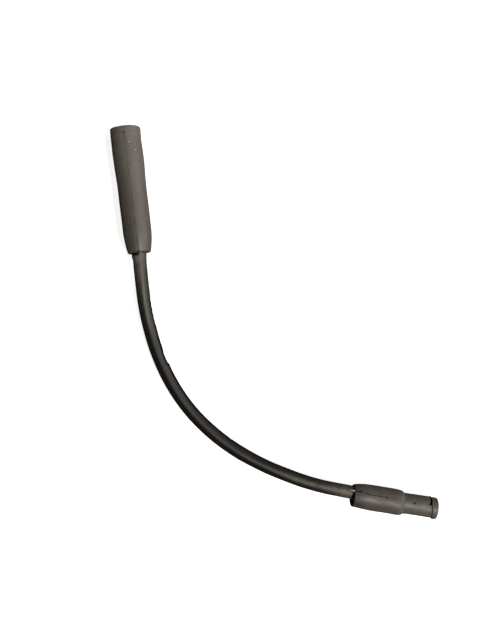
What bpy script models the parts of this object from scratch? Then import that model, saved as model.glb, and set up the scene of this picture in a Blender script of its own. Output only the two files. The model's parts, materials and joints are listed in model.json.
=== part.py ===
"""Ignition cable: a 7 mm spark plug lead with a moulded rubber boot on each end.

Frame: metres, +Z up, the cable lying on the plane z = 0. +Y points straight out of the plug
boot's mouth, and the origin is under the middle of the box around both boots.
Every boot and terminal is built along its own +Y axis, with y = 0 at its rear end, where the
lead goes in, and is then placed by its object's location and rotation.
"""

import math

import bmesh
import bpy
from mathutils import Matrix, Vector

MM = 0.001

CLEARANCE = 0.3 * MM
SIDES = 40
EDGE_STEPS = 3
TAPER_STEPS = 6
BELL_STEPS = 2
SHEET_STEPS = 20
NECK_STEPS = 6
SPRING_STEPS = 24
WIRE_SIDES = 8
TAIL_BEND_STEPS = 4
CURVE_STEPS = 12

# Lead
LEAD_DIAMETER = 7.0 * MM
LEAD_POINT_SPACING = 14.0 * MM
LEAD_BEVEL_RESOLUTION = 4

# Plug boot, outside
PLUG_X = -66.7 * MM
PLUG_MOUTH_Y = 112.2 * MM
PLUG_LENGTH = 66.0 * MM
PLUG_HEAD_DIAMETER = 16.1 * MM
PLUG_HEAD_LENGTH = 17.0 * MM
PLUG_HEAD_TAPER = 15.0 * MM
PLUG_WAIST_DIAMETER = 15.1 * MM
PLUG_REAR_DIAMETER = 12.1 * MM
PLUG_REAR_TAPER = 13.0 * MM
PLUG_LIP_LENGTH = 3.0 * MM
PLUG_EDGE_ROUND = 0.6 * MM

# Plug boot, inside
PLUG_BORE_DIAMETER = 10.4 * MM
PLUG_FLARE = 0.5 * MM
PLUG_FLARE_LENGTH = 1.0 * MM
PLUG_RIB_COUNT = 3
PLUG_RIB_FIRST = 5.0 * MM
PLUG_RIB_PITCH = 4.0 * MM
PLUG_RIB_WIDTH = 1.2 * MM
PLUG_RIB_HEIGHT = 0.35 * MM
PLUG_COLLAR_LENGTH = 3.0 * MM
PLUG_THROAT_LENGTH = 11.5 * MM
PLUG_BELL_LENGTH = 4.5 * MM
PLUG_BELL_WIDENING = 0.6 * MM

# Coil boot, outside
COIL_REAR_X = 30.87 * MM
COIL_REAR_Y = -95.0 * MM
COIL_TURN = math.radians(-105.9)
COIL_BODY_LENGTH = 25.8 * MM
COIL_BODY_DIAMETER = 13.4 * MM
COIL_REAR_DIAMETER = 11.6 * MM
COIL_REAR_TAPER = 10.0 * MM
COIL_SHOULDER_LENGTH = 3.6 * MM
COIL_SHOULDER_DROP = 0.5 * MM
COIL_NOSE_LENGTH = 18.8 * MM
COIL_NOSE_DIAMETER = 10.8 * MM
COIL_LIP_LENGTH = 2.4 * MM
COIL_LIP_PROUD = 0.2 * MM
COIL_EDGE_ROUND = 0.4 * MM

# Coil boot, inside
COIL_BORE_DIAMETER = 7.8 * MM
COIL_FLARE = 0.3 * MM
COIL_FLARE_LENGTH = 0.6 * MM
COIL_COLLAR_LENGTH = 3.0 * MM
COIL_THROAT_LENGTH = 13.5 * MM
COIL_BELL_LENGTH = 10.0 * MM
COIL_BELL_WIDENING = 1.3 * MM
COIL_BELL_OFFSET = 1.06 * MM

# Groove behind each lip
GROOVE_WIDTH = 0.5 * MM
GROOVE_DEPTH = 0.3 * MM

# Terminals, folded from sheet
SHEET = 0.4 * MM
CRIMP_LENGTH = 8.0 * MM
CRIMP_SLIT = math.radians(24)
CRIMP_MOUTH_LENGTH = 0.8 * MM
NECK_LENGTH = 4.0 * MM
NECK_OPENING = math.radians(170)
CAN_SLIT = math.radians(16)
CAN_FLARE = 0.25 * MM
CAN_FLARE_LENGTH = 1.0 * MM
PLUG_CAN_BORE = 6.5 * MM
PLUG_CAN_LENGTH = 14.0 * MM
COIL_CAN_BORE = 4.0 * MM
COIL_CAN_LENGTH = 10.0 * MM
SPRING_WIRE = 0.6 * MM
SPRING_GROOVE_DEPTH = 0.3 * MM
SPRING_GROOVE_WIDTH = 1.2 * MM
SPRING_GROOVE_RAMP = 0.6 * MM
SPRING_FROM_FRONT = 5.0 * MM
SPRING_OPENING = math.radians(50)

# Bared conductor, folded back under the crimp
TAIL_THICKNESS = 0.4 * MM
TAIL_WIDTH = 1.6 * MM
TAIL_LENGTH = 6.5 * MM
TAIL_START = 0.8 * MM

# The free part of the lead, from the plug boot to the coil boot, as it lies
FREE_ROUTE = [
    (-67.0, 43.8, 8.0),
    (-67.5, 31.0, 6.8),
    (-67.6, 18.4, 5.1),
    (-66.6, 5.7, 3.8),
    (-64.3, -7.1, 3.6),
    (-59.1, -23.5, 3.6),
    (-51.3, -38.9, 3.6),
    (-40.9, -52.7, 3.6),
    (-28.5, -64.6, 3.6),
    (-14.5, -74.6, 3.6),
    (0.6, -83.0, 3.7),
    (8.3, -86.5, 4.3),
    (16.2, -89.4, 5.4),
    (24.2, -91.8, 6.4),
]

# Sizes that follow from the ones above
LEAD_RADIUS = LEAD_DIAMETER / 2
THROAT_RADIUS = LEAD_RADIUS + CLEARANCE
CRIMP_SUNK = (TAIL_THICKNESS + CLEARANCE) / 2
CRIMP_BORE_RADIUS = LEAD_RADIUS + CLEARANCE + CRIMP_SUNK
CAVITY_RADIUS = CRIMP_SUNK + CRIMP_BORE_RADIUS + SHEET + CLEARANCE
PLUG_AXIS_Z = PLUG_HEAD_DIAMETER / 2
COIL_AXIS_Z = COIL_BODY_DIAMETER / 2
COIL_LENGTH = COIL_BODY_LENGTH + COIL_NOSE_LENGTH
PLUG_CAN_RADIUS = PLUG_CAN_BORE / 2 + SHEET
COIL_CAN_RADIUS = COIL_CAN_BORE / 2 + SHEET


def clear_scene():
    for thing in list(bpy.data.objects):
        bpy.data.objects.remove(thing, do_unlink=True)


def linear(channel):
    """One sRGB channel, 0 to 255, as linear light."""
    share = channel / 255
    return share / 12.92 if share <= 0.04045 else ((share + 0.055) / 1.055) ** 2.4


def make_material(name, rgb, roughness, metallic=0.0):
    material = bpy.data.materials.new(name)
    material.use_nodes = True
    shader = material.node_tree.nodes["Principled BSDF"]
    shader.inputs["Base Color"].default_value = (*[linear(c) for c in rgb], 1)
    shader.inputs["Roughness"].default_value = roughness
    shader.inputs["Metallic"].default_value = metallic
    return material


def add_object(name, mesh, material, placing):
    """Link a mesh as one named object, shaded smooth with its sharp edges kept."""
    mesh.materials.append(material)
    mesh.shade_smooth()
    mesh.set_sharp_from_angle(angle=math.radians(35))
    thing = bpy.data.objects.new(name, mesh)
    thing.matrix_world = placing
    bpy.context.scene.collection.objects.link(thing)
    return thing


def finish_mesh(name, bm):
    bmesh.ops.recalc_face_normals(bm, faces=bm.faces)
    mesh = bpy.data.meshes.new(name)
    bm.to_mesh(mesh)
    bm.free()
    return mesh


def plug_placing():
    return Matrix.Translation((PLUG_X, PLUG_MOUTH_Y - PLUG_LENGTH, PLUG_AXIS_Z))


def coil_placing():
    place = Matrix.Translation((COIL_REAR_X, COIL_REAR_Y, COIL_AXIS_Z))
    return place @ Matrix.Rotation(COIL_TURN, 4, "Z")


def turned(name, profile, material, placing):
    """Spin a closed outline of (along, radius) pairs round the Y axis."""
    bm = bmesh.new()
    ring = [bm.verts.new((radius, along, 0)) for along, radius in profile]
    edges = [bm.edges.new((ring[i - 1], ring[i])) for i in range(len(ring))]
    bmesh.ops.spin(bm, geom=ring + edges, cent=(0, 0, 0), axis=(0, 1, 0),
                   angle=math.tau, steps=SIDES, use_merge=True)
    bmesh.ops.remove_doubles(bm, verts=bm.verts, dist=1e-7)
    return add_object(name, finish_mesh(name, bm), material, placing)


def edge_round(along, radius, size, towards_body):
    """A quarter round from the side of a turned piece to its end face at along.

    towards_body is +1 where the piece lies on the +Y side of that face, and -1 on the other.
    """
    points = []
    for step in range(EDGE_STEPS + 1):
        turn = math.pi / 2 * step / EDGE_STEPS
        points.append((along + towards_body * size * (1 - math.sin(turn)),
                       radius - size * (1 - math.cos(turn))))
    return points


def eased(start, end, share):
    """A smooth passage from start to end as share goes from 0 to 1."""
    return start + (end - start) * share * share * (3 - 2 * share)


def belly(start, length, rear, full):
    """The rear taper of a boot: its radius grows from rear to full and ends level."""
    points = []
    for step in range(1, TAPER_STEPS + 1):
        along = start + (length - start) * step / TAPER_STEPS
        points.append((along, full - (full - rear) * (1 - along / length) ** 2))
    return points


def groove(along, radius, radius_after):
    """A shallow groove round the outside, centred on a place along the axis."""
    half = GROOVE_WIDTH / 2
    floor = radius - GROOVE_DEPTH
    return [(along - half, radius), (along - half / 2, floor),
            (along + half / 2, floor), (along + half, radius_after)]


def plug_crimp_front():
    return PLUG_THROAT_LENGTH + CLEARANCE + CRIMP_LENGTH


def coil_crimp_front():
    return COIL_THROAT_LENGTH + CLEARANCE + CRIMP_LENGTH


def can_rear(crimp_front):
    return crimp_front + CRIMP_MOUTH_LENGTH + NECK_LENGTH


def plug_boot_outline():
    """The plug boot's closed outline: rear edge, outside, mouth, then the bore back."""
    head = PLUG_HEAD_DIAMETER / 2
    waist = PLUG_WAIST_DIAMETER / 2
    rear = PLUG_REAR_DIAMETER / 2
    bore = PLUG_BORE_DIAMETER / 2
    collar = PLUG_CAN_RADIUS + CLEARANCE
    points = edge_round(0, rear, PLUG_EDGE_ROUND, 1)[::-1]
    points += belly(PLUG_EDGE_ROUND, PLUG_REAR_TAPER, rear, waist)
    taper_start = PLUG_LENGTH - PLUG_HEAD_LENGTH - PLUG_HEAD_TAPER
    for step in range(TAPER_STEPS + 1):
        share = step / TAPER_STEPS
        points.append((taper_start + share * PLUG_HEAD_TAPER, eased(waist, head, share)))
    points += groove(PLUG_LENGTH - PLUG_LIP_LENGTH, head, head)
    points += edge_round(PLUG_LENGTH, head, PLUG_EDGE_ROUND, -1)
    points += [(PLUG_LENGTH, bore + PLUG_FLARE), (PLUG_LENGTH - PLUG_FLARE_LENGTH, bore)]
    for rib in range(PLUG_RIB_COUNT):
        centre = PLUG_LENGTH - PLUG_RIB_FIRST - rib * PLUG_RIB_PITCH
        points += [(centre + PLUG_RIB_WIDTH / 2, bore), (centre, bore - PLUG_RIB_HEIGHT),
                   (centre - PLUG_RIB_WIDTH / 2, bore)]
    collar_rear = can_rear(plug_crimp_front()) + CLEARANCE
    collar_front = collar_rear + PLUG_COLLAR_LENGTH
    points += [(collar_front + bore - collar, bore), (collar_front, collar),
               (collar_rear, collar), (collar_rear, CAVITY_RADIUS),
               (PLUG_THROAT_LENGTH, CAVITY_RADIUS), (PLUG_THROAT_LENGTH, THROAT_RADIUS),
               (PLUG_BELL_LENGTH, THROAT_RADIUS), (0, THROAT_RADIUS + PLUG_BELL_WIDENING)]
    return points


def coil_boot_outline():
    """The coil boot's closed outline: rear edge, body, step, nose, mouth, then the bore back."""
    body = COIL_BODY_DIAMETER / 2
    rear = COIL_REAR_DIAMETER / 2
    nose = COIL_NOSE_DIAMETER / 2
    lip = nose + COIL_LIP_PROUD
    bore = COIL_BORE_DIAMETER / 2
    collar = COIL_CAN_RADIUS + CLEARANCE
    points = edge_round(0, rear, COIL_EDGE_ROUND, 1)[::-1]
    points += belly(COIL_EDGE_ROUND, COIL_REAR_TAPER, rear, body)
    shoulder_start = COIL_BODY_LENGTH - COIL_SHOULDER_LENGTH
    for step in range(TAPER_STEPS + 1):
        share = step / TAPER_STEPS
        points.append((shoulder_start + share * COIL_SHOULDER_LENGTH,
                       body - COIL_SHOULDER_DROP * share * share))
    points.append((COIL_BODY_LENGTH, nose))
    points += groove(COIL_LENGTH - COIL_LIP_LENGTH, nose, lip)
    points += edge_round(COIL_LENGTH, lip, COIL_EDGE_ROUND, -1)
    cone_rear = coil_crimp_front() + CRIMP_MOUTH_LENGTH + CLEARANCE
    cone_front = cone_rear + NECK_LENGTH
    collar_front = cone_front + COIL_COLLAR_LENGTH
    points += [(COIL_LENGTH, bore + COIL_FLARE), (COIL_LENGTH - COIL_FLARE_LENGTH, bore),
               (collar_front, bore), (collar_front, collar), (cone_front, collar),
               (cone_rear, CAVITY_RADIUS), (COIL_THROAT_LENGTH, CAVITY_RADIUS),
               (COIL_THROAT_LENGTH, THROAT_RADIUS)]
    for step in range(BELL_STEPS + 1):
        share = step / BELL_STEPS
        points.append((COIL_BELL_LENGTH * (1 - share),
                       THROAT_RADIUS + COIL_BELL_WIDENING * share))
    return points


def skin(bm, rings):
    """Join rings of points into one closed tube, with a strip of faces over each end."""
    rows = [[bm.verts.new(point) for point in ring] for ring in rings]
    count = len(rows[0])
    for near, far in zip(rows, rows[1:]):
        for i in range(count):
            bm.faces.new((near[i - 1], near[i], far[i], far[i - 1]))
    for row in (rows[0], rows[-1]):
        for i in range(count // 2 - 1):
            bm.faces.new((row[i], row[i + 1], row[count - 2 - i], row[count - 1 - i]))


def sheet_ring(along, inner_radius, sunk, open_angle):
    """One cross-section of rolled sheet: a C that is open at the top.

    sunk is how far the C's centre lies under the axis.
    """
    outside, inside = [], []
    for step in range(SHEET_STEPS + 1):
        turn = math.pi / 2 + open_angle / 2 + (math.tau - open_angle) * step / SHEET_STEPS
        for side, radius in ((outside, inner_radius + SHEET), (inside, inner_radius)):
            side.append((radius * math.cos(turn), along, radius * math.sin(turn) - sunk))
    return outside + inside[::-1]


def terminal(name, crimp_front, can_bore, can_length, groove_depth, material, placing):
    """A contact folded from one sheet: crimp barrel, open neck and slit round socket."""
    can = can_bore / 2
    rear = can_rear(crimp_front)
    front = rear + can_length
    neck_rear = crimp_front + CRIMP_MOUTH_LENGTH
    rings = [sheet_ring(crimp_front - CRIMP_LENGTH, CRIMP_BORE_RADIUS, CRIMP_SUNK, CRIMP_SLIT),
             sheet_ring(crimp_front, CRIMP_BORE_RADIUS, CRIMP_SUNK, CRIMP_SLIT),
             sheet_ring(neck_rear, CRIMP_BORE_RADIUS, CRIMP_SUNK, NECK_OPENING)]
    for step in range(1, NECK_STEPS + 1):
        share = step / NECK_STEPS
        opening = eased(NECK_OPENING, CAN_SLIT, max(0, 2 * share - 1))
        rings.append(sheet_ring(neck_rear + share * NECK_LENGTH,
                                eased(CRIMP_BORE_RADIUS, can, share),
                                eased(CRIMP_SUNK, 0, share), opening))
    if groove_depth:
        centre = front - SPRING_FROM_FRONT
        floor_half = SPRING_GROOVE_WIDTH / 2
        rim_half = floor_half + SPRING_GROOVE_RAMP
        for offset, radius in ((-rim_half, can), (-floor_half, can - groove_depth),
                               (floor_half, can - groove_depth), (rim_half, can)):
            rings.append(sheet_ring(centre + offset, radius, 0, CAN_SLIT))
    rings += [sheet_ring(front - CAN_FLARE_LENGTH, can, 0, CAN_SLIT),
              sheet_ring(front, can + CAN_FLARE, 0, CAN_SLIT)]
    bm = bmesh.new()
    skin(bm, rings)
    return add_object(name, finish_mesh(name, bm), material, placing)


def spring_ring(name, material, placing):
    """A snap ring of round wire, open at the top, in the groove round the plug socket."""
    wire = SPRING_WIRE / 2
    radius = PLUG_CAN_RADIUS - SPRING_GROOVE_DEPTH + CLEARANCE + wire
    centre = can_rear(plug_crimp_front()) + PLUG_CAN_LENGTH - SPRING_FROM_FRONT
    rings = []
    for step in range(SPRING_STEPS + 1):
        turn = math.pi / 2 + SPRING_OPENING / 2 + (math.tau - SPRING_OPENING) * step / SPRING_STEPS
        ring = []
        for corner in range(WIRE_SIDES):
            roll = math.tau * corner / WIRE_SIDES
            reach = radius + wire * math.cos(roll)
            ring.append((reach * math.cos(turn), centre + wire * math.sin(roll),
                         reach * math.sin(turn)))
        rings.append(ring)
    bm = bmesh.new()
    skin(bm, rings)
    return add_object(name, finish_mesh(name, bm), material, placing)


def conductor_tail(name, crimp_front, material, placing):
    """The bared conductor: out of the cut end, down over its edge and back under the crimp."""
    half = TAIL_THICKNESS / 2
    bend = CLEARANCE + half
    path = [(crimp_front + bend, TAIL_START, 0.0)]
    for step in range(TAIL_BEND_STEPS + 1):
        turn = math.pi / 2 * step / TAIL_BEND_STEPS
        path.append((crimp_front + bend * math.cos(turn),
                     -LEAD_RADIUS - bend * math.sin(turn), turn))
    path.append((crimp_front - TAIL_LENGTH, -LEAD_RADIUS - bend, math.pi / 2))
    rings = []
    for along, height, turn in path:
        out = (half * math.cos(turn), -half * math.sin(turn))
        rings.append([(side * TAIL_WIDTH / 2, along + face * out[0], height + face * out[1])
                      for side, face in ((-1, -1), (1, -1), (1, 1), (-1, 1))])
    bm = bmesh.new()
    skin(bm, rings)
    return add_object(name, finish_mesh(name, bm), material, placing)


def lead_route():
    """The route's own points: inside the plug boot, over the floor, inside the coil boot."""
    plug, coil = plug_placing(), coil_placing()
    points = [plug @ Vector((0, along, 0))
              for along in (plug_crimp_front(), PLUG_THROAT_LENGTH, PLUG_BELL_LENGTH)]
    points += [Vector(point) * MM for point in FREE_ROUTE]
    points.append(coil @ Vector((-COIL_BELL_OFFSET, 0, 0)))
    points += [coil @ Vector((0, along, 0)) for along in (COIL_BELL_LENGTH, coil_crimp_front())]
    return points


def smooth_points(route, spacing):
    """Points at even distances on a smooth curve through the route's points."""
    knots = [0.0]
    for start, end in zip(route, route[1:]):
        knots.append(knots[-1] + (end - start).length)
    slopes = []
    for i in range(len(route)):
        before, after = max(i - 1, 0), min(i + 1, len(route) - 1)
        slopes.append((route[after] - route[before]) / (knots[after] - knots[before]))
    fine = [route[0]]
    for i in range(len(route) - 1):
        length = knots[i + 1] - knots[i]
        for step in range(1, CURVE_STEPS + 1):
            t = step / CURVE_STEPS
            fine.append(route[i] * (1 + 2 * t) * (1 - t) ** 2 + slopes[i] * length * t * (1 - t) ** 2
                        + route[i + 1] * t * t * (3 - 2 * t) - slopes[i + 1] * length * t * t * (1 - t))
    travelled = [0.0]
    for start, end in zip(fine, fine[1:]):
        travelled.append(travelled[-1] + (end - start).length)
    count = round(travelled[-1] / spacing)
    points, place = [fine[0]], 0
    for step in range(1, count):
        wanted = travelled[-1] * step / count
        while travelled[place + 1] < wanted:
            place += 1
        share = (wanted - travelled[place]) / (travelled[place + 1] - travelled[place])
        points.append(fine[place].lerp(fine[place + 1], share))
    return points + [fine[-1]]


def lead(name, material):
    """The lead as one plain round tube with closed ends."""
    curve = bpy.data.curves.new(name, "CURVE")
    curve.dimensions = "3D"
    curve.bevel_depth = LEAD_RADIUS
    curve.bevel_resolution = LEAD_BEVEL_RESOLUTION
    curve.use_fill_caps = True
    points = smooth_points(lead_route(), LEAD_POINT_SPACING)
    spline = curve.splines.new("POLY")
    spline.points.add(len(points) - 1)
    for point, place in zip(spline.points, points):
        point.co = (*place, 1)
    curve.materials.append(material)
    thing = bpy.data.objects.new(name, curve)
    bpy.context.scene.collection.objects.link(thing)
    return thing


def main():
    clear_scene()
    plug, coil = plug_placing(), coil_placing()
    boot_rubber = make_material("dusty black EPDM rubber", (78, 74, 68), 0.75)
    jacket_rubber = make_material("black lead jacket", (34, 32, 30), 0.45)
    tinned_steel = make_material("tinned steel sheet", (176, 174, 168), 0.35, 1.0)
    spring_steel = make_material("spring steel wire", (120, 118, 116), 0.3, 1.0)
    brass = make_material("tinned brass sheet", (186, 172, 132), 0.35, 1.0)
    core = make_material("carbon filled glass yarn", (28, 28, 30), 0.7)
    turned("plug_boot", plug_boot_outline(), boot_rubber, plug)
    terminal("plug_terminal", plug_crimp_front(), PLUG_CAN_BORE, PLUG_CAN_LENGTH,
             SPRING_GROOVE_DEPTH, tinned_steel, plug)
    spring_ring("plug_terminal_spring", spring_steel, plug)
    conductor_tail("plug_conductor_tail", plug_crimp_front(), core, plug)
    lead("lead", jacket_rubber)
    conductor_tail("coil_conductor_tail", coil_crimp_front(), core, coil)
    terminal("coil_terminal", coil_crimp_front(), COIL_CAN_BORE, COIL_CAN_LENGTH,
             0, brass, coil)
    turned("coil_boot", coil_boot_outline(), boot_rubber, coil)


if __name__ == "__main__":
    main()
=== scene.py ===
"""Ignition cable: a 7 mm lead with a moulded rubber boot, a contact and a core tail at each end.

Everything is in metres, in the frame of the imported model. A boot, its contact and its tail share
one axis: along runs from the boot's rear end to its mouth, and turn is counted from the top
towards the right-hand side of someone who looks along it.
"""

import json
import math

import bpy
import numpy as np
from bpy.props import FloatProperty, FloatVectorProperty, IntProperty, PointerProperty
from mathutils import Matrix, Vector


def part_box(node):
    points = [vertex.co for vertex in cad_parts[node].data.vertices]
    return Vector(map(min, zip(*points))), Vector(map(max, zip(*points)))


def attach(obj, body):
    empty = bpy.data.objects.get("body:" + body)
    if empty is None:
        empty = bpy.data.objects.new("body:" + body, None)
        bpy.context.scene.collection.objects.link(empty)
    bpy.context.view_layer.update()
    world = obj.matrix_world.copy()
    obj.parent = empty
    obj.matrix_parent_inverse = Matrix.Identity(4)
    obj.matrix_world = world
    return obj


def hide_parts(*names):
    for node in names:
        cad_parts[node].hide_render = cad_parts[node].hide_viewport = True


bl_info = {
    "name": "Ignition Cable",
    "version": (1, 0, 0),
    "blender": (4, 5, 0),
    "location": "3D View > Sidebar > Ignition Cable",
    "description": "Dresses an ignition lead with its rubber boots, contacts and core tails",
    "category": "Object",
}

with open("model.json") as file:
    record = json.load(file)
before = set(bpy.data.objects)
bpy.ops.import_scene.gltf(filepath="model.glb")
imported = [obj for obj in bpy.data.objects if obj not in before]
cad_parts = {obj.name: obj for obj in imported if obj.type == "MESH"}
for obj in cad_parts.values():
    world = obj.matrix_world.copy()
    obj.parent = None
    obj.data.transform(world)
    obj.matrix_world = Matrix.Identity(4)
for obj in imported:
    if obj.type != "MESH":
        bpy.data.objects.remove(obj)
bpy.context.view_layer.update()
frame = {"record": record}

MM = 0.001
CLEARANCE = 0.3 * MM
PLUG_LOW, PLUG_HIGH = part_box("plug_boot")
COIL_LOW, COIL_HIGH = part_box("coil_boot")
MOUNTS = {mount["name"]: mount for mount in frame["record"]["mounts"]}

# How fine the surfaces are
BOOT_COLUMNS = 176
LEAD_COLUMNS = 72
FACE_ROWS = 3
BORE_STEP = 0.4 * MM

# The free part of the lead, traced from the photo at even steps: the same points as in part.py
FREE_ROUTE = np.array([
    (-67.0, 43.8, 8.0),
    (-67.5, 31.0, 6.8),
    (-67.6, 18.4, 5.1),
    (-66.6, 5.7, 3.8),
    (-64.3, -7.1, 3.6),
    (-59.1, -23.5, 3.6),
    (-51.3, -38.9, 3.6),
    (-40.9, -52.7, 3.6),
    (-28.5, -64.6, 3.6),
    (-14.5, -74.6, 3.6),
    (0.6, -83.0, 3.7),
    (8.3, -86.5, 4.3),
    (16.2, -89.4, 5.4),
    (24.2, -91.8, 6.4),
]) * MM


def linear(hex_colour):
    """An sRGB hex value as linear light: each channel by the sRGB transfer curve."""
    channels = np.array([int(hex_colour[i:i + 2], 16) for i in (1, 3, 5)]) / 255
    light = np.where(channels <= 0.04045, channels / 12.92, ((channels + 0.055) / 1.055) ** 2.4)
    return (*light, 1.0)


def colour(name, description, hex_colour):
    return FloatVectorProperty(name=name, description=description, subtype="COLOR", size=4,
                               min=0.0, max=1.0, default=linear(hex_colour))


def length(name, description, default):
    return FloatProperty(name=name, description=description, unit="LENGTH", precision=5,
                         default=default)


def angle(name, description, degrees):
    return FloatProperty(name=name, description=description, subtype="ANGLE",
                         default=math.radians(degrees))


class PlugBootSettings(bpy.types.PropertyGroup):
    """The long boot that goes over the spark plug."""

    length: length("Length", "From the rear end to the mouth", PLUG_HIGH.y - PLUG_LOW.y)
    head_diameter: length("Head", "Outside diameter at the mouth", PLUG_HIGH.z - PLUG_LOW.z)
    head_length: length("Head length", "Straight stretch behind the mouth", 17.0 * MM)
    head_taper: length("Head taper", "Passage from the waist to the head", 15.0 * MM)
    waist_diameter: length("Waist", "Outside diameter of the long middle", 15.1 * MM)
    rear_diameter: length("Rear", "Outside diameter at the lead's end", 12.1 * MM)
    rear_taper: length("Rear taper", "Length of the rounded rear", 13.0 * MM)
    edge: length("Edge", "Rounding of both end edges", 0.6 * MM)
    bore: length("Bore", "Bore for the plug's insulator", 10.4 * MM)
    flare: length("Flare", "Widening of the bore at the mouth", 0.5 * MM)
    rib_first: length("First rib", "From the mouth to the first sealing rib", 5.0 * MM)
    rib_pitch: length("Rib pitch", "Distance between sealing ribs", 4.0 * MM)
    rib_height: length("Rib height", "How far a rib stands into the bore", 0.35 * MM)
    rib_count: IntProperty(name="Ribs", description="Number of sealing ribs", default=3)
    throat: length("Throat", "Narrow bore round the lead", 11.5 * MM)
    bell: length("Bell", "Widened stretch of the throat at the rear", 4.5 * MM)
    bell_widening: length("Bell widening", "Growth of the throat's radius", 0.6 * MM)


class CoilBootSettings(bpy.types.PropertyGroup):
    """The stepped boot that goes into the coil or distributor tower."""

    length: length("Length", "From the rear end to the mouth", 44.6 * MM)
    body_length: length("Body length", "From the rear end to the step", 25.8 * MM)
    body_diameter: length("Body", "Outside diameter behind the step", COIL_HIGH.z - COIL_LOW.z)
    rear_diameter: length("Rear", "Outside diameter at the lead's end", 11.6 * MM)
    rear_taper: length("Rear taper", "Length of the rounded rear", 10.0 * MM)
    shoulder: length("Shoulder", "Length over which the body rounds down", 3.6 * MM)
    shoulder_drop: length("Shoulder drop", "How far it rounds down", 0.5 * MM)
    nose_diameter: length("Nose", "Outside diameter before the step", 10.8 * MM)
    edge: length("Edge", "Rounding of both end edges", 0.4 * MM)
    lip_rise: length("Lip rise", "How far the ring stands out on its high side", 0.47 * MM)
    bore: length("Bore", "Bore round the contact", 7.8 * MM)
    flare: length("Flare", "Widening of the bore at the mouth", 0.3 * MM)
    throat: length("Throat", "Narrow bore round the lead", 13.5 * MM)
    bell: length("Bell", "Widened stretch of the throat at the rear", 10.0 * MM)
    bell_widening: length("Bell widening", "Growth of the throat's radius", 1.3 * MM)
    bell_offset: length("Lead offset", "How far off centre the lead goes in", 1.06 * MM)


class LeadSettings(bpy.types.PropertyGroup):
    """The cable between the boots."""

    diameter: length("Diameter", "Outside diameter of the jacket", 7.0 * MM)
    step: length("Grid step", "Distance between rings of the surface", 0.3 * MM)
    jacket: colour("Jacket", "Black of the jacket", "#040303")
    # Also the grey of painted highlights along the top near both boots.
    dust: colour("Dust", "Grey film near both boots", "#69635A")


class ContactSettings(bpy.types.PropertyGroup):
    """The folded sheet contacts, the snap ring and the folded core."""

    sheet: length("Sheet", "Thickness of the sheet", 0.4 * MM)
    crimp: length("Crimp", "Length of the crimp barrel", 8.0 * MM)
    crimp_mouth: length("Crimp mouth", "From the barrel to the neck", 0.8 * MM)
    neck: length("Neck", "Open stretch between barrel and socket", 4.0 * MM)
    crimp_slit: angle("Crimp slit", "Gap between the barrel's edges", 24)
    neck_opening: angle("Neck opening", "Open angle of the neck", 170)
    can_slit: angle("Socket slit", "Gap between the socket's edges", 16)
    can_flare: length("Socket flare", "Widening at the socket's mouth", 0.25 * MM)
    plug_bore: length("Plug socket", "Bore of the plug's contact", 6.5 * MM)
    plug_can: length("Plug socket length", "Length of the plug's contact", 14.0 * MM)
    coil_bore: length("Coil socket", "Bore of the coil's contact", 4.0 * MM)
    coil_can: length("Coil socket length", "Length of the coil's contact", 10.0 * MM)
    collar: length("Collar", "Length of the rubber collar that holds a socket", 3.0 * MM)
    wire: length("Ring wire", "Thickness of the snap ring", 0.6 * MM)
    ring_place: length("Ring place", "From the socket's mouth to the ring", 5.0 * MM)
    ring_groove: length("Ring groove", "Depth of the groove for the ring", 0.3 * MM)
    ring_opening: angle("Ring opening", "Gap in the snap ring", 50)
    tail_thickness: length("Tail thickness", "Thickness of the folded core", 0.4 * MM)
    tail_width: length("Tail width", "Width of the folded core", 1.6 * MM)
    tail_length: length("Tail length", "Length of core under the crimp", 6.5 * MM)


class RubberSettings(bpy.types.PropertyGroup):
    """Colours of the boots' rubber."""

    body: colour("Rubber", "Dusty black rubber", "#4C4742")
    # Also painted light: the plug boot pales towards its mouth by this colour.
    bloomed_and_painted_light: colour("Bloomed", "The same with a thicker bloom of dust", "#605A54")
    # Also the colour of painted highlights.
    worn: colour("Worn", "Rubbed high places and specks", "#D4CFC6")
    # Also the colour of painted shade in gaps, pits, the bore and the rear face.
    grime: colour("Grime", "Dark in notches and seams", "#12100E")


class StageSettings(bpy.types.PropertyGroup):
    """Camera, lamps and floor."""

    camera_height: length("Camera height", "Height of the lens above the floor", 348.1 * MM)
    camera_x: length("Camera X", "Where the camera stands", -17.94 * MM)
    camera_y: length("Camera Y", "Where the camera stands", 4.59 * MM)
    roll: angle("Roll", "Turn of the picture", -6.797)
    key: FloatProperty(name="Key", description="Light of the strip above on the object, in W/m2",
                       default=2.95)
    key_azimuth: angle("Key azimuth", "Direction of the strip above, from +X", -49)
    key_tilt: angle("Key tilt", "How far the strip stands from overhead", 34.6)
    key_turn: angle("Key turn", "Direction of the strip's long side, from +X", 103)
    key_length: length("Key length", "Long side of the strip", 0.75)
    key_width: length("Key width", "Short side of the strip", 0.14)
    side: FloatProperty(name="Side", description="Light of the side box on the object, in W/m2",
                        default=3.2)
    side_azimuth: angle("Side azimuth", "Direction of the side box, from +X", 4)
    side_tilt: angle("Side tilt", "How far the side box stands from overhead", 77.5)
    side_width: length("Side width", "Width of the side box", 0.63)
    side_height: length("Side height", "Height of the side box", 1.29)
    distance: length("Distance", "From both lamps to the middle of the object", 1.5)
    fill: FloatProperty(name="Fill", description="Strength of the light all round", default=0.03)


class CableSettings(bpy.types.PropertyGroup):
    """Everything that the panel lists."""

    plug: PointerProperty(type=PlugBootSettings)
    coil: PointerProperty(type=CoilBootSettings)
    lead: PointerProperty(type=LeadSettings)
    contact: PointerProperty(type=ContactSettings)
    rubber: PointerProperty(type=RubberSettings)
    stage: PointerProperty(type=StageSettings)


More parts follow.
